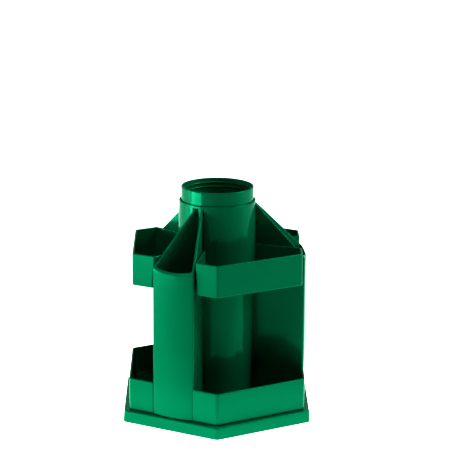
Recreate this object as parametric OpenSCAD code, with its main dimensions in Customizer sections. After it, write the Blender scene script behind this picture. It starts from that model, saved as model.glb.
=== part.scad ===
// Turntable desk organizer
//
// A hexagonal base carries a carousel that turns about the vertical axis.
// The carousel has a round centre cup, three tall pencil channels with slanted
// tops and three low bays. A loose ring of three upper trays drops over the
// cup and its sleeve is slotted to pass the channel walls.
//
// Millimetres, +Z up, the underside of the feet at z = 0.

/* [Base] */
// Width of the base across its flats, mm
base_flats = 140; // [120:1:180]
// Height of the base, mm
base_h = 9.1; // [6:0.1:16]
// Wall thickness of the base, mm
base_wall = 2.4; // [1.6:0.2:4]
// Rounding of the base corners seen from above, mm
base_corner = 4.5; // [1:0.5:10]
// Radius of the circle the foot pads stand on, mm
pad_circle = 64; // [40:1:75]

/* [Carousel] */
// Gap between the base and the turning carousel, mm
turn_gap = 1.1; // [0.8:0.1:4]
// Width of the low bays across their flats, mm
body_flats = 131.4; // [110:0.1:170]
// Rounding of the carousel corners seen from above, mm
body_corner = 4; // [1:0.5:10]
// Thickness of the carousel floor, mm
floor_t = 2.4; // [1.5:0.1:4]
// Thickness of the moulded walls, mm
wall = 1.8; // [1.2:0.1:3]
// Height of the low bay rims above the table, mm
bay_rim_z = 33.7; // [20:0.1:60]
// Distance of a bay wall's end from the middle of its channel, mm
bay_end = 17; // [12:0.1:18]

/* [Centre cup] */
// Height of the cup's mouth above the table, mm
cup_top = 172.8; // [120:0.1:220]
// Outside radius of the cup, mm
cup_r = 27.2; // [20:0.2:40]
// Depth of the upper rib's middle below the mouth, mm
rib_depth = 3.4; // [2:0.1:6]
// Distance between the two ribs inside the mouth, mm
rib_pitch = 3.2; // [2:0.1:6]
// Height of one of those ribs, mm
rib_h = 1.2; // [0.6:0.1:2.4]

/* [Pencil channels] */
// Outside radius of the channel fronts, mm
channel_r = 67.5; // [55:0.1:80]
// Half width of a channel at its inner end, mm
fin_half = 4.5; // [4:0.1:8]
// Distance of that inner end from the axis, mm
fin_at = 30.2; // [29:0.1:40]
// Slope of the channel sides, mm outward for each mm of radius
fin_slope = 0.378; // [0.2:0.002:0.5]
// Height of the slanted top at the inner end, mm
slant_z = 158.1; // [120:0.1:170]
// Angle of the slanted top, degrees
slant_angle = 46.1; // [20:0.1:60]

/* [Upper tray ring] */
// Width of the upper trays across their flats, mm
tray_flats = 125.6; // [100:0.2:132]
// Rounding of the tray corners seen from above, mm
tray_corner = 2.4; // [0.5:0.1:6]
// Height of the trays' underside above the table, mm
tray_z = 105.2; // [70:0.2:130]
// Height of the trays, mm
tray_h = 24.2; // [12:0.1:40]
// Thickness of the tray walls and floors, mm
tray_t = 1.6; // [1.2:0.1:3]
// Height of the top of the ring's sleeve, mm
sleeve_top = 162.5; // [140:0.5:170]
// Outside radius of the sleeve at its top, mm
sleeve_r = 28.7; // [28.5:0.1:32]
// Outside radius of the sleeve at its foot, mm
sleeve_foot_r = 30; // [29:0.1:34]
// Thickness of the sleeve, mm
sleeve_t = 1.15; // [0.8:0.05:2]
// Gap between the sleeve's slots and the channel sides, mm
slot_gap = 0.6; // [0.3:0.1:1.2]
// Gap between the trays and the channel sides at the trays' rim, mm
tray_gap = 0.6; // [0.4:0.1:1.5]
// Lean of the trays' side walls, degrees
side_lean = 4.2; // [0:0.1:8]

/* [Pivot] */
// Radius of the pivot's journal, mm
journal_r = 4; // [3:0.1:6]
// Gap around the journal, mm
journal_gap = 0.06; // [0.02:0.01:0.1]
// Radius of the pivot's head, mm
head_r = 7.5; // [6:0.1:12]

/* [Hidden] */
$fn = 64;
z_base = 0.2;
pad_t = 1.6;
pad_r = 6.4;
body_z = base_h + turn_gap;
floor_z = body_z + floor_t;
hub_h = 0.9;
head_z = floor_z + hub_h + 0.3;
cup_wall = 1.6;
lean_run = sqrt(1 + fin_slope * fin_slope);
fin_angle = atan(fin_slope);
rib_t = 2;
boss_r = 9;
shank_r = 3;
tray_top = tray_z + tray_h;
rest_gap = 0.35;

moulded = [0.02, 0.45, 0.28];
dark = [0.12, 0.12, 0.12];
white = [0.85, 0.85, 0.82];
steel = [0.65, 0.66, 0.68];

// Which node to draw

// ---- outlines -------------------------------------------------------------

// Regular hexagon with flats facing 0, 60, 120 degrees and rounded corners
module hex2d(flats, corner) {
    r = flats / 2 / cos(30) - corner / cos(30);
    polygon([for (k = [0:5], s = [-30, 30])
        [r * cos(30 + 60 * k) + corner * cos(30 + 60 * k + s),
         r * sin(30 + 60 * k) + corner * sin(30 + 60 * k + s)]]);
    for (k = [0:5])
        rotate(30 + 60 * k)
            translate([r, 0])
                circle(corner);
}

// Half width of a channel at radius r, moved outward by g
function fin_v(r, g) = fin_half + fin_slope * (r - fin_at) + g * lean_run;

// Plan of the space between a channel's two sides, moved outward by g
module wedge2d(g) {
    r_in = 22;
    r_out = 90;
    polygon([[r_in, -fin_v(r_in, g)], [r_out, -fin_v(r_out, g)],
        [r_out, fin_v(r_out, g)], [r_in, fin_v(r_in, g)]]);
}

// Outside plan of one channel, cut off at the cup
module channel2d() {
    difference() {
        intersection() {
            wedge2d(0);
            circle(channel_r);
        }
        circle(cup_r);
    }
}

// Third of a turn around the bay that faces angle a
module sector2d(a) {
    far = 200;
    polygon([[0, 0], [far * cos(a - 60), far * sin(a - 60)],
        [far * 2 * cos(a), far * 2 * sin(a)],
        [far * cos(a + 60), far * sin(a + 60)]]);
}

// Leaning wedge that keeps the trays clear of a channel
module lean_wedge(g) {
    intersection_for(s = [-1, 1]) {
        scale([1, s, 1])
            translate([fin_at, fin_half, tray_top])
                rotate([0, 0, fin_angle])
                    translate([0, g, 0])
                        rotate([side_lean, 0, 0])
                            translate([-40, -120, -80])
                                cube([160, 120, 160]);
    }
}

// ---- base -----------------------------------------------------------------

// Hollow shell with ribs, corner posts for the pads and a bored centre boss
module base_shell() {
    under = base_h - base_wall;
    color(moulded)
        difference() {
            translate([0, 0, z_base])
                linear_extrude(base_h - z_base)
                    hex2d(base_flats, base_corner);
            difference() {
                translate([0, 0, z_base - 1])
                    linear_extrude(under - z_base + 1)
                        hex2d(base_flats - 2 * base_wall, base_corner - base_wall);
                translate([0, 0, 1.6])
                    cylinder(r = boss_r, h = base_h);
                for (k = [0:5])
                    rotate(30 + 60 * k) {
                        translate([0, -rib_t / 2, 2])
                            cube([pad_circle, rib_t, base_h]);
                        translate([pad_circle, 0, pad_t])
                            cylinder(r = pad_r + 1, h = base_h);
                    }
            }
            translate([0, 0, -1])
                cylinder(r = shank_r, h = base_h + 2);
        }
}

// Steel pivot: shank in the base, journal for the carousel, retaining head
module pivot_pin() {
    color(steel)
        rotate_extrude()
            polygon([[0, 1.6], [shank_r, 1.6], [shank_r, base_h],
                [journal_r, base_h], [journal_r, head_z], [head_r, head_z],
                [head_r, head_z + 0.9], [head_r - 1.2, head_z + 1.8],
                [0, head_z + 1.8]]);
}

// Low-friction ring the carousel rides on
module glide_ring() {
    color(white)
        translate([0, 0, base_h])
            difference() {
                cylinder(r = 24, h = turn_gap - 0.3);
                translate([0, 0, -1])
                    cylinder(r = 18, h = turn_gap + 2);
            }
}

module foot_pad(k) {
    color(dark)
        rotate(30 + 60 * (k - 1))
            translate([pad_circle, 0, 0])
                cylinder(r = pad_r, h = pad_t);
}

// ---- carousel -------------------------------------------------------------

module carousel_floor() {
    color(moulded)
        difference() {
            union() {
                translate([0, 0, body_z])
                    linear_extrude(floor_t) {
                        hex2d(body_flats, body_corner);
                        for (k = [0:2])
                            rotate(120 * k)
                                channel2d();
                    }
                translate([0, 0, floor_z])
                    cylinder(r = 8, h = hub_h);
            }
            translate([0, 0, body_z - 1])
                cylinder(r = journal_r + journal_gap, h = floor_t + hub_h + 2);
        }
}

module center_cup() {
    color(moulded)
        translate([0, 0, floor_z])
            difference() {
                cylinder(r = cup_r, h = cup_top - floor_z);
                translate([0, 0, -1])
                    cylinder(r = cup_r - cup_wall, h = cup_top);
            }
}

// Slim rib around the inside of the cup, its middle at a depth below the mouth
module mouth_rib(depth) {
    r = cup_r - cup_wall;
    color(moulded)
        translate([0, 0, cup_top - depth])
            rotate_extrude()
                polygon([[r, -rib_h / 2], [r, rib_h / 2],
                    [r - 0.6, rib_h / 4], [r - 0.6, -rib_h / 4]]);
}

// Everything above a channel's slanted top, raised by g
module above_slant(g) {
    translate([fin_at, 0, slant_z + g])
        rotate([0, slant_angle, 0])
            translate([-150, -100, 0])
                cube([400, 200, 200]);
}

// One pencil channel: two sides, a curved front and a slanted top
module channel(a) {
    color(moulded)
        rotate(a)
            difference() {
                translate([0, 0, floor_z])
                    linear_extrude(slant_z)
                        difference() {
                            channel2d();
                            intersection() {
                                wedge2d(-wall);
                                circle(channel_r - wall);
                            }
                        }
                above_slant(0);
            }
}

// Outer wall of the low bay that faces angle a
module bay_wall(a) {
    color(moulded)
        rotate(a)
            translate([0, 0, floor_z])
                linear_extrude(bay_rim_z - floor_z)
                    intersection() {
                        difference() {
                            hex2d(body_flats, body_corner);
                            hex2d(body_flats - 2 * wall, body_corner - wall);
                            for (s = [-60, 60])
                                rotate(s) {
                                    channel2d();
                                    translate([0, -bay_end])
                                        square([90, 2 * bay_end]);
                                }
                        }
                        sector2d(0);
                    }
}

// ---- loose tray ring ------------------------------------------------------

// Tapered solid of the sleeve, moved inward by t
module sleeve_cone(t) {
    translate([0, 0, tray_z])
        cylinder(r1 = sleeve_foot_r - t, r2 = sleeve_r - t,
            h = sleeve_top - tray_z);
}

// Tapered sleeve, slotted from below and closed above the channel sides
module ring_sleeve() {
    color(moulded)
        difference() {
            sleeve_cone(0);
            sleeve_cone(sleeve_t);
            for (k = [0:2])
                rotate(120 * k)
                    difference() {
                        translate([0, 0, tray_z - 1])
                            linear_extrude(sleeve_top)
                                wedge2d(slot_gap);
                        above_slant(rest_gap);
                    }
        }
}

// One upper tray that faces angle a
module upper_tray(a) {
    color(moulded)
        rotate(a)
            difference() {
                tray_body(tray_z, tray_top, 0);
                tray_body(tray_z + tray_t, tray_top + 1, tray_t);
                sleeve_cone(0);
            }
}

// Solid between two leaning sides, moved inward by t
module tray_body(z0, z1, t) {
    difference() {
        translate([0, 0, z0])
            linear_extrude(z1 - z0)
                intersection() {
                    hex2d(tray_flats - 2 * t, max(tray_corner - t, 0.6));
                    sector2d(0);
                }
        for (s = [-60, 60])
            rotate(s)
                lean_wedge(tray_gap + t);
    }
}

// ---- nodes ----------------------------------------------------------------

base_shell();
glide_ring();
pivot_pin();
foot_pad(1);  // foot_pad_1
foot_pad(2);  // foot_pad_2
foot_pad(3);  // foot_pad_3
foot_pad(4);  // foot_pad_4
foot_pad(5);  // foot_pad_5
foot_pad(6);  // foot_pad_6
carousel_floor();
center_cup();
mouth_rib(rib_depth);  // mouth_rib_upper
mouth_rib(rib_depth + rib_pitch);  // mouth_rib_lower
channel(0);  // channel_right
channel(120);  // channel_back
channel(240);  // channel_front
bay_wall(60);  // bay_wall_back
bay_wall(180);  // bay_wall_left
bay_wall(300);  // bay_wall_front
ring_sleeve();
upper_tray(60);  // upper_tray_back
upper_tray(180);  // upper_tray_left
upper_tray(300);  // upper_tray_front
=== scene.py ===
import math

import bmesh
import bpy
from mathutils import Matrix, Vector


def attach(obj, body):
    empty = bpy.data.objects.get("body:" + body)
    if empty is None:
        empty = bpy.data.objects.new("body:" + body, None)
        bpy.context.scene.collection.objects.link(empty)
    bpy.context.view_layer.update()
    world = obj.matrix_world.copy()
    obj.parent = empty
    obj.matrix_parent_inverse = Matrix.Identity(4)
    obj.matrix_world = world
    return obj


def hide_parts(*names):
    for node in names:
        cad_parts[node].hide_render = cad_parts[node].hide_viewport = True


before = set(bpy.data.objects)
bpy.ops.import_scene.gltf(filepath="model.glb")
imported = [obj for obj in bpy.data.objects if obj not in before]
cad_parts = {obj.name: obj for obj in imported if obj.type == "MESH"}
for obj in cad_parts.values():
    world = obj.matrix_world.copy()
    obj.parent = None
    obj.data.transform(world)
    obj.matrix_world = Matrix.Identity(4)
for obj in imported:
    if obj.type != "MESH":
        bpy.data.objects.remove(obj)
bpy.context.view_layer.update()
MM = 0.001

# ---------------------------------------------------------------- dimensions, mm
# Heights are above the table; a FLAT is half the width across a hexagon's flats.
BASE_FLAT, BASE_H, BASE_CORNER = 70.0, 9.1, 4.5
BASE_FOOT = 0.2         # lowest edge of the base's side
BASE_WALL = 2.4
BASE_DRAFT = 0.6        # how far the side leans in over its height
BASE_LIP = 1.15         # rounding of the upper edge
PAD_CIRCLE = 64.0
PIN_HOLE_R = 3.02

BODY_FLAT, BODY_CORNER = 65.7, 4.0
BODY_Z, FLOOR_Z = 10.2, 12.6
SKIRT_Z = 9.6           # lowest edge of the carousel's outer walls
HUB_R = 4.06            # bore for the pivot
WALL = 1.8              # bays and channels
BAY_RIM = 33.7
BAY_END = 17.0          # from the middle of a flat to the end of a bay's wall
BAY_DRAFT = 0.35
BAY_ROUND, FOOT_ROUND = 0.8, 0.5

CHAN_R = 67.5           # curved front of a channel
FIN_HALF, FIN_AT, FIN_SLOPE = 4.5, 30.2, 0.378   # half width at a radius, and its growth
RUN = math.sqrt(1 + FIN_SLOPE ** 2)
SLANT_Z, SLANT = 158.1, math.radians(46.1)       # top of a channel at FIN_AT, and its slope
CHAN_ROUND, CHAN_FOOT_ROUND = 0.72, 0.4
CHAN_INNER = 26.3       # where a channel ends inside the cup's wall

CUP_R, CUP_T, CUP_TOP = 27.2, 1.6, 172.8
MOUTH_WALL = 1.35       # the cup's wall just below the mouth
RIB_R, RIB_REACH = 0.6, 0.75

TRAY_FLAT, TRAY_CORNER = 62.8, 2.4
TRAY_Z, TRAY_TOP, TRAY_T = 105.2, 129.4, 1.6
TRAY_GAP, TRAY_LEAN = 0.6, math.radians(4.2)     # from the channel at the rim, and downward
TRAY_INNER = 28.35
TRAY_ROUND, TRAY_FOOT_ROUND, TRAY_FILLET = 0.7, 1.1, 1.4
SLEEVE_TOP, SLEEVE_R, SLEEVE_FOOT, SLEEVE_T, SLOT_GAP = 162.5, 28.7, 30.0, 1.15, 0.6


# ---------------------------------------------------------------- outlines
# An outline is a closed loop of edges, each a line ("L", nx, ny, c) with an
# outward normal, or an arc ("A", radius, side) about the axis, where side is 1
# when outward is away from the axis. Corners are rounded to given radii.

def line_at(angle, c):
    """A straight edge at a distance c from the axis, facing an angle."""
    return ("L", math.cos(angle), math.sin(angle), c)


def shifted(edge, d):
    """An edge moved inward by d."""
    if edge[0] == "L":
        return ("L", edge[1], edge[2], edge[3] - d)
    return ("A", edge[1] - d * edge[2], edge[2])


def meet(a, b, near):
    """The point where two edges cross, the one closest to near."""
    if a[0] == "L" and b[0] == "L":
        det = a[1] * b[2] - a[2] * b[1]
        return Vector(((a[3] * b[2] - b[3] * a[2]) / det,
                       (a[1] * b[3] - b[1] * a[3]) / det))
    if a[0] == "A":
        a, b = b, a
    n = Vector((a[1], a[2]))
    t = Vector((-n.y, n.x))
    half = math.sqrt(max(b[1] ** 2 - a[3] ** 2, 0.0))
    one, two = n * a[3] + t * half, n * a[3] - t * half
    return one if (one - near).length < (two - near).length else two


def foot(edge, centre, r):
    """Where a rounding of radius r about centre touches an edge."""
    if edge[0] == "L":
        return centre + Vector((edge[1], edge[2])) * r
    return centre + centre.normalized() * edge[2] * r


def outline(edges, corners, insets, steps=6, arc_steps=16):
    """Points round a loop. corners[i] = (near point, radius, 1 convex or -1 concave)
    sits between edge i and edge i + 1; insets moves each edge inward."""
    count = len(edges)
    moved = [shifted(e, d) for e, d in zip(edges, insets)]
    rounds = []
    for i in range(count):
        a, b = moved[i], moved[(i + 1) % count]
        near, r, sign = corners[i]
        c = meet(shifted(a, r * sign), shifted(b, r * sign), Vector(near))
        p, q = foot(a, c, r * sign), foot(b, c, r * sign)
        start, stop = math.atan2(*(p - c).yx), math.atan2(*(q - c).yx)
        turn = (stop - start + math.pi) % (2 * math.pi) - math.pi
        rounds.append([c + Vector((math.cos(start + turn * k / steps),
                                   math.sin(start + turn * k / steps))) * r
                       for k in range(steps + 1)])
    points = []
    for i in range(count):
        points += rounds[i - 1]
        if moved[i][0] == "A":
            p, q = rounds[i - 1][-1], rounds[i][0]
            start, stop = math.atan2(p.y, p.x), math.atan2(q.y, q.x)
            turn = (stop - start + math.pi) % (2 * math.pi) - math.pi
            points += [Vector((math.cos(start + turn * k / arc_steps),
                               math.sin(start + turn * k / arc_steps))) * moved[i][1]
                       for k in range(1, arc_steps)]
    return points


def quarter(r, steps):
    """(inset, drop) pairs along a rounded edge, from its foot to its top."""
    return [(r * (1 - math.cos(a)), r * (1 - math.sin(a)))
            for a in (math.pi / 2 * k / steps for k in range(steps + 1))]


# ---------------------------------------------------------------- mesh helpers
def new_piece(name, bm, material, body, nodes=(), bevel=None, weighted=True):
    """Turn a bmesh in mm into a piece that rides on a body and replaces CAD nodes."""
    bmesh.ops.recalc_face_normals(bm, faces=bm.faces)
    mesh = bpy.data.meshes.new(name)
    bm.to_mesh(mesh)
    bm.free()
    mesh.transform(Matrix.Scale(MM, 4))
    mesh.polygons.foreach_set("use_smooth", [True] * len(mesh.polygons))
    obj = bpy.data.objects.new(name, mesh)
    bpy.context.scene.collection.objects.link(obj)
    obj.data.materials.append(material)
    if bevel:
        mod = obj.modifiers.new("edges", "BEVEL")
        mod.width, mod.segments, mod.limit_method = bevel * MM, 3, "ANGLE"
        mod.angle_limit = math.radians(35)
        mod.use_clamp_overlap = True
        mod.harden_normals = False
    if weighted:
        mod = obj.modifiers.new("shading", "WEIGHTED_NORMAL")
        mod.keep_sharp = True
        mod.weight = 80
    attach(obj, body)
    if nodes:
        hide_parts(*nodes)
    return obj


def loft(rings, close=False, turn=0.0):
    """A bmesh through rings of equal length, each a list of (x, y, z). It is capped
    at both ends, or with close its last ring joins its first."""
    bm = bmesh.new()
    spin = Matrix.Rotation(turn, 3, "Z")
    rows = [[bm.verts.new(spin @ Vector(p)) for p in ring] for ring in rings]
    n = len(rows[0])
    pairs = list(zip(rows, rows[1:])) + ([(rows[-1], rows[0])] if close else [])
    for low, high in pairs:
        for i in range(n):
            bm.faces.new((low[i], low[(i + 1) % n], high[(i + 1) % n], high[i]))
    if not close:
        bm.faces.new(list(reversed(rows[0])))
        bm.faces.new(rows[-1])
    return bm


def lathe(profile, steps):
    """A bmesh of a closed (r, z) profile turned about the axis."""
    bm = bmesh.new()
    cols = []
    for k in range(steps):
        a = 2 * math.pi * k / steps
        cols.append([bm.verts.new((r * math.cos(a), r * math.sin(a), z)) for r, z in profile])
    n = len(profile)
    for k in range(steps):
        a, b = cols[k], cols[(k + 1) % steps]
        for i in range(n):
            j = (i + 1) % n
            bm.faces.new((a[i], b[i], b[j], a[j]))
    return bm


def rounded_profile(points):
    """(r, z, radius) corners of a closed profile, rounded into short steps."""
    out = []
    n = len(points)
    for i in range(n):
        p = Vector(points[i][:2])
        r = points[i][2]
        a = Vector(points[i - 1][:2]) - p
        b = Vector(points[(i + 1) % n][:2]) - p
        if r <= 0:
            out.append(tuple(p))
            continue
        cut = min(r / math.tan(a.angle(b) / 2), 0.45 * a.length, 0.45 * b.length)
        s, e = p + a.normalized() * cut, p + b.normalized() * cut
        for k in range(5):
            t = k / 4
            out.append(tuple(s * (1 - t) ** 2 + p * 2 * t * (1 - t) + e * t ** 2))
    return out


# ---------------------------------------------------------------- materials
def nodes_of(name):
    """A material with only a Principled shader, its tree and that shader."""
    mat = bpy.data.materials.new(name)
    mat.use_nodes = True
    tree = mat.node_tree
    tree.nodes.clear()
    out = tree.nodes.new("ShaderNodeOutputMaterial")
    shader = tree.nodes.new("ShaderNodeBsdfPrincipled")
    tree.links.new(shader.outputs[0], out.inputs[0])
    return mat, tree, shader


def moulded_plastic(name, colour, shade, rough, metal=0.0, specular=0.5, tint=(1, 1, 1, 1)):
    """Glossy injection-moulded plastic: faint flow marks in the colour, a slight
    uneven gloss and the long ripples that cooling leaves in flat walls. A little
    metal keeps the reflections at grazing angles in the plastic's own colour."""
    mat, tree, shader = nodes_of(name)
    add, link = tree.nodes.new, tree.links.new
    coord = add("ShaderNodeTexCoord")

    flow = add("ShaderNodeTexNoise")
    flow.inputs["Scale"].default_value = 22
    flow.inputs["Detail"].default_value = 5
    flow.inputs["Distortion"].default_value = 1.2
    link(coord.outputs["Object"], flow.inputs["Vector"])
    mix = add("ShaderNodeMix")
    mix.data_type = "RGBA"
    mix.inputs["A"].default_value = colour
    mix.inputs["B"].default_value = shade
    link(flow.outputs["Fac"], mix.inputs["Factor"])
    link(mix.outputs["Result"], shader.inputs["Base Color"])

    smear = add("ShaderNodeTexNoise")
    smear.inputs["Scale"].default_value = 60
    smear.inputs["Detail"].default_value = 6
    link(coord.outputs["Object"], smear.inputs["Vector"])
    span = add("ShaderNodeMapRange")
    span.inputs["From Min"].default_value = 0.3
    span.inputs["From Max"].default_value = 0.75
    span.inputs["To Min"].default_value = rough * 0.8
    span.inputs["To Max"].default_value = rough * 1.35
    link(smear.outputs["Fac"], span.inputs["Value"])
    link(span.outputs["Result"], shader.inputs["Roughness"])

    long = add("ShaderNodeTexNoise")
    long.inputs["Scale"].default_value = 38
    long.inputs["Detail"].default_value = 1
    link(coord.outputs["Object"], long.inputs["Vector"])
    fine = add("ShaderNodeTexNoise")
    fine.inputs["Scale"].default_value = 900
    fine.inputs["Detail"].default_value = 2
    link(coord.outputs["Object"], fine.inputs["Vector"])
    wide = add("ShaderNodeBump")
    wide.inputs["Strength"].default_value = 0.05
    wide.inputs["Distance"].default_value = 0.0016
    link(long.outputs["Fac"], wide.inputs["Height"])
    skin = add("ShaderNodeBump")
    skin.inputs["Strength"].default_value = 0.02
    skin.inputs["Distance"].default_value = 0.00015
    link(fine.outputs["Fac"], skin.inputs["Height"])
    link(wide.outputs["Normal"], skin.inputs["Normal"])
    link(skin.outputs["Normal"], shader.inputs["Normal"])
    shader.inputs["IOR"].default_value = 1.5
    shader.inputs["Metallic"].default_value = metal
    shader.inputs["Specular IOR Level"].default_value = specular
    shader.inputs["Specular Tint"].default_value = tint
    return mat


green = moulded_plastic("moulded_green", (0.0, 0.132, 0.062, 1), (0.0, 0.120, 0.056, 1), 0.12,
                        metal=0.2, specular=0.04, tint=(0.0, 1.0, 0.7, 1))
white = moulded_plastic("moulded_white", (0.78, 0.77, 0.73, 1), (0.70, 0.69, 0.65, 1), 0.35)


def turned_steel():
    """Steel with fine rings from the lathe."""
    mat, tree, shader = nodes_of("turned_steel")
    add, link = tree.nodes.new, tree.links.new
    coord = add("ShaderNodeTexCoord")
    ring = add("ShaderNodeTexWave")
    ring.wave_type, ring.rings_direction = "RINGS", "Z"
    ring.inputs["Scale"].default_value = 900
    ring.inputs["Distortion"].default_value = 0.6
    link(coord.outputs["Object"], ring.inputs["Vector"])
    mix = add("ShaderNodeMix")
    mix.data_type = "RGBA"
    mix.inputs["A"].default_value = (0.52, 0.53, 0.55, 1)
    mix.inputs["B"].default_value = (0.66, 0.67, 0.69, 1)
    link(ring.outputs["Fac"], mix.inputs["Factor"])
    link(mix.outputs["Result"], shader.inputs["Base Color"])
    span = add("ShaderNodeMapRange")
    span.inputs["To Min"].default_value = 0.24
    span.inputs["To Max"].default_value = 0.38
    link(ring.outputs["Fac"], span.inputs["Value"])
    link(span.outputs["Result"], shader.inputs["Roughness"])
    shader.inputs["Metallic"].default_value = 1.0
    return mat


def pad_rubber():
    """Dull black rubber with a fine grain."""
    mat, tree, shader = nodes_of("pad_rubber")
    add, link = tree.nodes.new, tree.links.new
    coord = add("ShaderNodeTexCoord")
    grain = add("ShaderNodeTexNoise")
    grain.inputs["Scale"].default_value = 700
    grain.inputs["Detail"].default_value = 4
    link(coord.outputs["Object"], grain.inputs["Vector"])
    mix = add("ShaderNodeMix")
    mix.data_type = "RGBA"
    mix.inputs["A"].default_value = (0.025, 0.025, 0.026, 1)
    mix.inputs["B"].default_value = (0.055, 0.055, 0.055, 1)
    link(grain.outputs["Fac"], mix.inputs["Factor"])
    link(mix.outputs["Result"], shader.inputs["Base Color"])
    bump = add("ShaderNodeBump")
    bump.inputs["Strength"].default_value = 0.3
    bump.inputs["Distance"].default_value = 0.0002
    link(grain.outputs["Fac"], bump.inputs["Height"])
    link(bump.outputs["Normal"], shader.inputs["Normal"])
    shader.inputs["Roughness"].default_value = 0.8
    return mat


steel = turned_steel()
rubber = pad_rubber()


# ---------------------------------------------------------------- base
def hexagon(c):
    """Edges and sharp corners of a hexagon; c is the distance to its flats."""
    edges = [line_at(math.radians(60 * k), c) for k in range(6)]
    corner = [(c / math.cos(math.radians(30)) * math.cos(math.radians(60 * k + 30)),
               c / math.cos(math.radians(30)) * math.sin(math.radians(60 * k + 30)))
              for k in range(6)]
    return edges, corner


def hex_ring(c, inset, radius, z):
    """Hexagon with rounded corners, moved inward, as points at a height."""
    edges, near = hexagon(c)
    r = max(radius - inset, 0.3)
    return [(p.x, p.y, z) for p in outline(edges, [(n, r, 1) for n in near], [inset] * 6, 8)]


def base_shell():
    """Shallow tray turned upside down, with a soft lip round its top."""
    lean = BASE_DRAFT / BASE_H
    under = BASE_H - BASE_WALL
    levels = [(BASE_WALL + 0.5, under), (BASE_WALL, under - 0.5),
              (BASE_WALL - 0.1, BASE_FOOT + 0.3), (BASE_WALL - 0.4, BASE_FOOT),
              (0.35, BASE_FOOT), (0.1, BASE_FOOT + 0.12), (0.0, BASE_FOOT + 0.4)]
    for inset, drop in quarter(BASE_LIP, 6):
        z = BASE_H - drop
        levels.append((inset + lean * (z - BASE_FOOT), z))
    levels.append((3.0, BASE_H))
    bm = loft([hex_ring(BASE_FLAT, inset, BASE_CORNER, z) for inset, z in levels])
    return new_piece("base_shell_skin", bm, green, "base", ["base_shell"])


def on_circle(bm, k):
    """Move a bmesh from the axis to the base's corner number k."""
    a = math.radians(30 + 60 * k)
    bmesh.ops.translate(bm, vec=(PAD_CIRCLE * math.cos(a), PAD_CIRCLE * math.sin(a), 0),
                        verts=bm.verts)


def base_ribs():
    """Ribs, corner posts and a boss for the pin, all under the base."""
    for k in range(6):
        bm = bmesh.new()
        bmesh.ops.create_cube(bm, size=1)
        bmesh.ops.scale(bm, vec=(50, 2, 4.8), verts=bm.verts)
        bmesh.ops.translate(bm, vec=(33, 0, 4.5), verts=bm.verts)
        bmesh.ops.rotate(bm, cent=(0, 0, 0), verts=bm.verts,
                         matrix=Matrix.Rotation(math.radians(30 + 60 * k), 3, "Z"))
        new_piece("base_rib_%d" % (k + 1), bm, green, "base", bevel=0.4)
        bm = lathe(rounded_profile([(0.01, 1.7, 0), (7.4, 1.7, 0.5),
                                    (7.2, 7.0, 0), (0.01, 7.0, 0)]), 48)
        on_circle(bm, k)
        new_piece("base_post_%d" % (k + 1), bm, green, "base")
    bm = lathe(rounded_profile([(PIN_HOLE_R, 1.6, 0.3), (9.0, 1.6, 0.6),
                                (8.8, 7.2, 0), (PIN_HOLE_R, 7.2, 0)]), 64)
    new_piece("base_boss", bm, green, "base")


def foot_pads():
    """Six rubber feet, one under each corner post."""
    for k in range(6):
        bm = lathe(rounded_profile([(0.01, 0.35, 0), (2.2, 0.35, 0.1), (2.5, 0.0, 0.1),
                                    (5.6, 0.0, 0.35), (6.35, 0.5, 0.3), (6.4, 1.6, 0),
                                    (0.01, 1.6, 0)]), 48)
        on_circle(bm, k)
        new_piece("pad_%d" % (k + 1), bm, rubber, "base", ["foot_pad_%d" % (k + 1)])


# ---------------------------------------------------------------- carousel
def carousel_floor():
    """Hexagonal plate with a hub round the pivot."""
    outer = hex_ring(BODY_FLAT, 1.0, BODY_CORNER, FLOOR_Z)

    def circle(r, z):
        return [(r * math.cos(math.atan2(y, x)), r * math.sin(math.atan2(y, x)), z)
                for x, y, _ in outer]

    hub = [(24, 0), (8.6, 0), (8.1, 0.15), (7.95, 0.5), (7.8, 0.8), (7.5, 0.9),
           (4.3, 0.9), (HUB_R, 0.7)]          # (radius, height above the floor)
    rings = [circle(HUB_R, BODY_Z), circle(24, BODY_Z),
             hex_ring(BODY_FLAT, 1.4, BODY_CORNER, BODY_Z),
             hex_ring(BODY_FLAT, 1.0, BODY_CORNER, BODY_Z + 0.4), outer]
    bm = loft(rings + [circle(r, FLOOR_Z + rise) for r, rise in hub], close=True)
    return new_piece("floor_plate", bm, green, "carousel", ["carousel_floor"])


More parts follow.
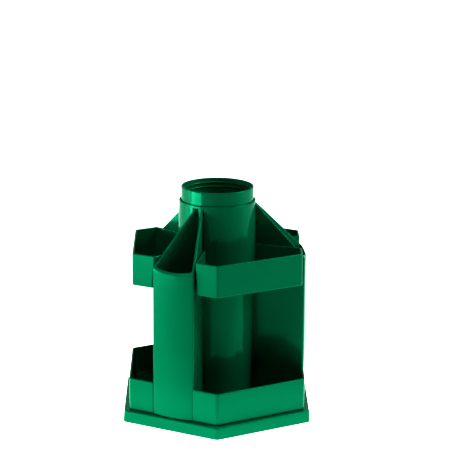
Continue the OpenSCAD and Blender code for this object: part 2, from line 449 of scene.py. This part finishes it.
def bay_wall(name, node, angle):
    """Low wall swept along the hexagon's edge from one channel to the next."""
    top, bottom = BAY_RIM, SKIRT_Z
    lean = BAY_DRAFT / (top - bottom)
    profile = []                              # (inset, z) round the wall's section
    for inset, drop in reversed(quarter(FOOT_ROUND, 4)):      # outer foot, rolled under
        z = bottom + drop
        profile.append((inset + lean * (top - z), z))
    rim = quarter(BAY_ROUND, 6)
    profile += [(inset, top - drop) for inset, drop in rim]
    profile += [(WALL - inset, top - drop) for inset, drop in reversed(rim)]
    for a in (0, 0.25, 0.5, 0.75, 1.0):       # inner foot, filleted into the floor
        t = a * math.pi / 2
        profile.append((WALL + 1.2 * (1 - math.cos(t)), FLOOR_Z + 1.2 * (1 - math.sin(t))))
    profile += [(WALL + 1.0, FLOOR_Z - 0.5), (1.0, FLOOR_Z - 0.8), (0.8, bottom + 0.02)]
    edges, near = hexagon(BODY_FLAT)

    def path(inset):
        """Points from one channel to the next, at an inset from the outer face."""
        r = max(BODY_CORNER - inset, 0.4)
        loop = outline(edges, [(n, r, 1) for n in near], [inset] * 6, 8)
        corners = loop[0:18]                  # the two roundings, at -30 and +30 degrees
        first, last = [Vector((math.cos(a), math.sin(a)))
                       for a in (math.radians(-60), math.radians(60))]
        along, back = Vector((-first.y, first.x)), Vector((last.y, -last.x))
        ends = (0, 0.12, 0.4, 0.9, 2.0)
        start = [first * (BODY_FLAT - inset) + along * (BAY_END + s) for s in ends]
        stop = [last * (BODY_FLAT - inset) + back * (BAY_END + s) for s in reversed(ends)]
        return start + corners + stop

    n = len(path(0))
    tuck = {0: 0.55, 1: 0.28, 2: 0.08, n - 1: 0.55, n - 2: 0.28, n - 3: 0.08}
    rings = []
    for k in range(n):
        extra = tuck.get(k, 0.0)              # rounds the wall's ends off
        ring = []
        for inset, z in profile:
            near_rim = max(0.0, 1 - (top - z) / 2.0)
            depth = inset + (extra if inset < 0.9 and z < top - 0.01 else 0.0)
            p = path(depth)[k]
            ring.append((p.x, p.y, z - (extra * near_rim if z > top - 1.2 else 0.0)))
        rings.append(ring)
    bm = loft(rings, turn=math.radians(angle))
    return new_piece(name, bm, green, "carousel", [node])


def fin_edge(side):
    """Line of a channel's outer face, on side 1 or -1."""
    return ("L", -FIN_SLOPE / RUN, side / RUN, (FIN_HALF - FIN_SLOPE * FIN_AT) / RUN)


def slant(u):
    """Height of a channel's top at a distance from the axis."""
    return SLANT_Z - math.tan(SLANT) * (u - FIN_AT)


def channel(name, node, angle):
    """Tall pencil pocket: two straight sides, a curved front and a slanted top."""
    edges = [fin_edge(-1), ("A", CHAN_R, 1), fin_edge(1), ("A", CHAN_INNER, -1)]
    corner = [(64, -17), (64, 17), (26.5, 2.8), (26.5, -2.8)]

    def ring(inset, arc_in, r_front, z=None, drop=0.0):
        loop = outline(edges, [(corner[0], r_front, 1), (corner[1], r_front, 1),
                               (corner[2], 0.25, 1), (corner[3], 0.25, 1)],
                       [inset, inset, inset, arc_in], 5, 18)
        return [(p.x, p.y, z if z is not None else slant(p.x) - drop) for p in loop]

    r_out, r_in = 1.3, 0.9                    # corners between the sides and the front
    middle, steep = 100.0, 1.3                # a level for a straight run; rim's drop on the slant
    rim = quarter(CHAN_ROUND, 5)
    rings = []
    for inset, drop in reversed(quarter(CHAN_FOOT_ROUND, 4)):
        rings.append(ring(inset, 0.0, r_out - inset, z=SKIRT_Z + drop))
    rings.append(ring(0, 0, r_out, z=middle))
    for inset, drop in rim:
        rings.append(ring(inset, 0.0, r_out - inset, drop=drop * steep))
    for inset, drop in reversed(rim):
        rings.append(ring(WALL - inset, 0.8, r_in + inset, drop=drop * steep))
    for deeper, r, z in ((0.0, r_in, middle), (0.0, r_in, FLOOR_Z + 1.0),
                         (0.3, r_in * 0.8, FLOOR_Z + 0.3), (0.9, r_in * 0.5, FLOOR_Z)):
        rings.append(ring(WALL + deeper, 0.8, r, z=z))
    bm = loft(rings, turn=math.radians(angle))
    return new_piece(name, bm, green, "carousel", [node])


def center_cup():
    """Tube round the pivot; its wall is a little thinner at the mouth."""
    r, t, top = CUP_R, CUP_T, CUP_TOP
    prof = [(r + 1.0, FLOOR_Z - 0.3), (r + 1.0, FLOOR_Z)]
    for a in (0.25, 0.5, 0.75, 1.0):
        t90 = a * math.pi / 2
        prof.append((r + 1.0 - math.sin(t90), FLOOR_Z + 1.0 - math.cos(t90)))
    prof += [(r, 60), (r, 100), (r, 150)]
    prof += [(r - inset, top - drop) for inset, drop in quarter(0.7, 6)]
    prof += [(r - 1.3 + inset, top - drop) for inset, drop in reversed(quarter(0.4, 3))]
    prof += [(r - MOUTH_WALL, top - 2.6), (r - t, top - 3.0), (r - t, 100), (r - t, 60),
             (r - t, FLOOR_Z + 0.8), (r - t - 0.25, FLOOR_Z + 0.2), (r - t - 0.8, FLOOR_Z),
             (r - t - 0.8, FLOOR_Z - 0.3)]
    bm = lathe(prof, 160)
    return new_piece("cup_tube", bm, green, "carousel", ["center_cup"])


def mouth_rib(name, node, depth):
    """Slim rounded rib round the inside of the cup."""
    r, z = CUP_R - CUP_T, CUP_TOP - depth
    prof = [(r + 0.3, z + 0.75)]
    for i in range(9):
        a = math.pi / 2 - math.pi * i / 8
        prof.append((r + 0.05 - RIB_REACH * math.cos(a), z + RIB_R * math.sin(a)))
    prof.append((r + 0.3, z - 0.75))
    return new_piece(name, lathe(prof, 160), green, "carousel", [node])


# ---------------------------------------------------------------- tray ring
def sleeve_radius(z):
    """Outside radius of the tapered sleeve at a height."""
    t = (z - TRAY_Z) / (SLEEVE_TOP - TRAY_Z)
    return SLEEVE_FOOT + (SLEEVE_R - SLEEVE_FOOT) * t


def slot_angle(r):
    """Half the angle, at radius r, of the slot that a channel passes through."""
    phi = 0.1
    for _ in range(20):
        half = FIN_HALF + SLOT_GAP * RUN + FIN_SLOPE * (r * math.cos(phi) - FIN_AT)
        phi = math.asin(min(1, half / r))
    return phi


def ring_sleeve():
    """Tapered tube, slotted from below where the channel sides pass through."""
    levels = [TRAY_Z, 112, 120, 130, 140, 150, 156, 160.2, 161.3, SLEEVE_TOP]
    slot_rows = 7                             # the slots end at the level with this index
    arcs, inner = 40, 8                       # steps between two slots, and across one
    third = math.radians(120)
    bm = bmesh.new()
    rows = []
    for z in levels:
        r = sleeve_radius(z)
        phi = slot_angle(r)
        row = []
        for k in range(3):
            base = math.radians(120 * k)
            row += [base - phi + 2 * phi * j / inner for j in range(inner)]
            row += [base + phi + (third - 2 * phi) * j / arcs for j in range(arcs)]
        rows.append([bm.verts.new((r * math.cos(a), r * math.sin(a), z)) for a in row])
    n = len(rows[0])
    for i in range(len(levels) - 1):
        for j in range(n):
            if i < slot_rows and j % (inner + arcs) < inner:
                continue
            k = (j + 1) % n
            bm.faces.new((rows[i][j], rows[i][k], rows[i + 1][k], rows[i + 1][j]))
    loose = [v for v in bm.verts if not v.link_faces]
    bmesh.ops.delete(bm, geom=loose, context="VERTS")
    obj = new_piece("sleeve", bm, green, "tray_ring", ["ring_sleeve"],
                    weighted=False)
    thick = obj.modifiers.new("thickness", "SOLIDIFY")
    thick.thickness, thick.offset, thick.use_even_offset = SLEEVE_T * MM, -1, True
    soft = obj.modifiers.new("edges", "BEVEL")
    soft.width, soft.segments, soft.limit_method = 0.45 * MM, 4, "ANGLE"
    soft.angle_limit = math.radians(40)
    obj.modifiers.new("shading", "WEIGHTED_NORMAL").keep_sharp = True
    return obj


def upper_tray(name, node, angle):
    """Tray between two channels; its side walls lean away from them downward."""
    def beside(sign, u, v):
        """A point given along and across the channel at sign * 60 degrees."""
        v, a = -v * sign, math.radians(60 * sign)
        return (u * math.cos(a) - v * math.sin(a), u * math.sin(a) + v * math.cos(a))

    def side(sign, z):
        """Line of the leaning side wall beside the channel at sign * 60 degrees."""
        gap = TRAY_GAP + (TRAY_TOP - z) * math.tan(TRAY_LEAN)
        n = Matrix.Rotation(sign * math.radians(60), 2) @ Vector((FIN_SLOPE / RUN, sign / RUN))
        return ("L", n.x, n.y, (FIN_SLOPE * FIN_AT - FIN_HALF) / RUN - gap)

    reach = TRAY_FLAT / math.cos(math.radians(30))
    front = [(reach * math.cos(math.radians(s * 30)), reach * math.sin(math.radians(s * 30)))
             for s in (-1, 1)]

    def ring(inset, z, arc_in):
        edges = [side(-1, z)] + [line_at(math.radians(a), TRAY_FLAT) for a in (-60, 0, 60)]
        edges += [side(1, z), ("A", TRAY_INNER, -1)]
        r_end, r_front = max(0.7 - inset, 0.35), max(TRAY_CORNER - inset, 0.7)
        corners = [(beside(-1, 62.5, 17.7), r_end, 1), (front[0], r_front, 1),
                   (front[1], r_front, 1), (beside(1, 62.5, 17.7), r_end, 1),
                   (beside(1, 28.2, 4.6), 0.15, 1), (beside(-1, 28.2, 4.6), 0.15, 1)]
        loop = outline(edges, corners, [inset] * 5 + [arc_in], 6, 20)
        return [(p.x, p.y, z) for p in loop]

    t, inner = TRAY_T, 0.72                   # inner: the wall beside the sleeve
    rim = quarter(TRAY_ROUND, 6)
    rings = [ring(inset, TRAY_Z + drop, 0.0)
             for inset, drop in reversed(quarter(TRAY_FOOT_ROUND, 6))]
    rings += [ring(inset, TRAY_TOP - drop, 0.0) for inset, drop in rim]
    rings += [ring(t - inset, TRAY_TOP - drop, inner) for inset, drop in reversed(rim)]
    rings += [ring(t + inset, TRAY_Z + t + drop, inner)
              for inset, drop in quarter(TRAY_FILLET, 4)]
    bm = loft(rings, turn=math.radians(angle))
    return new_piece(name, bm, green, "tray_ring", [node])


base_shell()
base_ribs()
foot_pads()
carousel_floor()
center_cup()
mouth_rib("mouth_rib_1", "mouth_rib_upper", 3.4)
mouth_rib("mouth_rib_2", "mouth_rib_lower", 6.6)
for label, turn in (("right", 0), ("back", 120), ("front", 240)):
    channel("channel_%s_skin" % label, "channel_%s" % label, turn)
for label, turn in (("back", 60), ("left", 180), ("front", 300)):
    bay_wall("bay_%s_skin" % label, "bay_wall_%s" % label, turn)
    upper_tray("tray_%s_skin" % label, "upper_tray_%s" % label, turn)
ring_sleeve()

for node, material in (("pivot_pin", steel), ("glide_ring", white)):
    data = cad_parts[node].data
    data.materials.clear()
    data.materials.append(material)


# ---------------------------------------------------------------- camera
def place_camera():
    """In front of the object, looking down a little; focal is in pixels."""
    az, el, roll = math.radians(0.689), math.radians(14.003), math.radians(0.342)
    distance, focal, wide = 1.5, 1995.26, 450              # metres, pixels, pixels
    back = Vector((-math.sin(az) * math.cos(el), -math.cos(az) * math.cos(el), math.sin(el)))
    right = Vector((math.cos(az), -math.sin(az), 0))
    up = back.cross(right)
    target = right * 0.005782 + Vector((0, 0, 0.142224))     # metres
    x = right * math.cos(roll) + up * math.sin(roll)
    y = up * math.cos(roll) - right * math.sin(roll)
    cam = bpy.data.objects.new("camera", bpy.data.cameras.new("camera"))
    bpy.context.scene.collection.objects.link(cam)
    cam.data.sensor_width = 36
    cam.data.lens = focal * 36 / wide
    cam.data.clip_start, cam.data.clip_end = 0.05, 60
    m = Matrix((x, y, back)).transposed().to_4x4()
    m.translation = target + back * distance
    cam.matrix_world = m
    bpy.context.scene.camera = cam


place_camera()


# ---------------------------------------------------------------- stage and lights
def stage():
    """Pale floor with painted light: it glows like a light table though it is no lamp,
    most of all in a painted pool of light under the object and behind it, and fades towards the
    front."""
    bm = bmesh.new()
    bmesh.ops.create_circle(bm, cap_ends=True, segments=96, radius=9)
    mesh = bpy.data.meshes.new("floor")
    bm.to_mesh(mesh)
    bm.free()
    obj = bpy.data.objects.new("floor", mesh)
    obj.location.z = -0.0002
    bpy.context.scene.collection.objects.link(obj)
    mat, tree, shader = nodes_of("glowing_floor_paper")
    add, link = tree.nodes.new, tree.links.new
    noise = add("ShaderNodeTexNoise")
    noise.inputs["Scale"].default_value = 3
    paper = add("ShaderNodeMix")
    paper.data_type = "RGBA"
    paper.inputs["A"].default_value = (0.84, 0.84, 0.84, 1)
    paper.inputs["B"].default_value = (0.88, 0.88, 0.88, 1)
    link(noise.outputs["Fac"], paper.inputs["Factor"])
    link(paper.outputs["Result"], shader.inputs["Base Color"])
    shader.inputs["Roughness"].default_value = 0.9
    shader.inputs["Specular IOR Level"].default_value = 0.1

    # painted light: the floor glows, a painted pool of light under the object and a brighter floor
    # behind it
    coord = add("ShaderNodeTexCoord")
    reach = add("ShaderNodeVectorMath")
    reach.operation = "LENGTH"
    link(coord.outputs["Object"], reach.inputs[0])
    split = add("ShaderNodeSeparateXYZ")
    link(coord.outputs["Object"], split.inputs[0])
    near = add("ShaderNodeMapRange")
    near.interpolation_type = "SMOOTHSTEP"
    link(reach.outputs["Value"], near.inputs["Value"])
    far = add("ShaderNodeMapRange")
    far.interpolation_type = "SMOOTHSTEP"
    link(split.outputs["Y"], far.inputs["Value"])
    for node, start, end, first, last in ((near, *GLOW_NEAR), (far, *GLOW_FAR)):
        node.inputs["From Min"].default_value = start
        node.inputs["From Max"].default_value = end
        node.inputs["To Min"].default_value = first
        node.inputs["To Max"].default_value = last
    glow = add("ShaderNodeMath")
    link(near.outputs["Result"], glow.inputs[0])
    link(far.outputs["Result"], glow.inputs[1])
    shader.inputs["Emission Color"].default_value = (1, 1, 1, 1)
    link(glow.outputs["Value"], shader.inputs["Emission Strength"])
    obj.data.materials.append(mat)


def softbox(name, azimuth, elevation, distance, size, power, height):
    """A rectangular light, out of sight, aimed at the axis at some height."""
    a, e = math.radians(azimuth), math.radians(elevation)
    away = Vector((math.cos(a) * math.cos(e), math.sin(a) * math.cos(e), math.sin(e)))
    data = bpy.data.lights.new(name, "AREA")
    data.shape = "RECTANGLE"
    data.size, data.size_y = size
    data.energy = power
    obj = bpy.data.objects.new(name, data)
    obj.location = away * distance + Vector((0, 0, height))
    obj.rotation_mode = "QUATERNION"
    obj.rotation_quaternion = away.to_track_quat("Z", "Y")
    obj.visible_camera = False
    bpy.context.scene.collection.objects.link(obj)


# painted light: the floor's glow, strongest in a painted pool under the object and behind it
GLOW_NEAR = (0.12, 0.18, 1.25, 0.0)     # from and to this far off the axis, m; strengths
GLOW_FAR = (-0.2, -0.1, 0.10, 0.72)     # from and to this far behind the axis, m; strengths
# name, azimuth, elevation, distance, (width, height), power, height of its aim
LIGHTS = [("left", 180, 8, 0.9, (0.5, 0.25), 7.6, 0.05),
          ("left_low", 200, 3, 0.55, (0.35, 0.10), 1.0, 0.03),
          ("left_high", 212, 42, 1.5, (0.4, 0.4), 2.4, 0.12),
          ("right_high", 0, 38, 1.7, (0.9, 0.9), 26.0, 0.09),
          ("right_low", 345, 12, 1.7, (0.9, 0.9), 4.0, 0.09),
          ("key_high", 260, 50, 1.3, (0.12, 0.12), 1.4, 0.12),
          ("above", 270, 72, 1.2, (0.6, 0.6), 3.0, 0.1),
          ("behind", 90, 28, 1.6, (1.6, 0.8), 3.2, 0.1)]
stage()
for light in LIGHTS:
    softbox(*light)

world = bpy.data.worlds.new("world")
bpy.context.scene.world = world
world.use_nodes = True
background = world.node_tree.nodes["Background"]
background.inputs["Color"].default_value = (1, 1, 1, 1)
background.inputs["Strength"].default_value = 0.0
bpy.context.scene.view_settings.view_transform = "Standard"
bpy.context.scene.view_settings.look = "High Contrast"
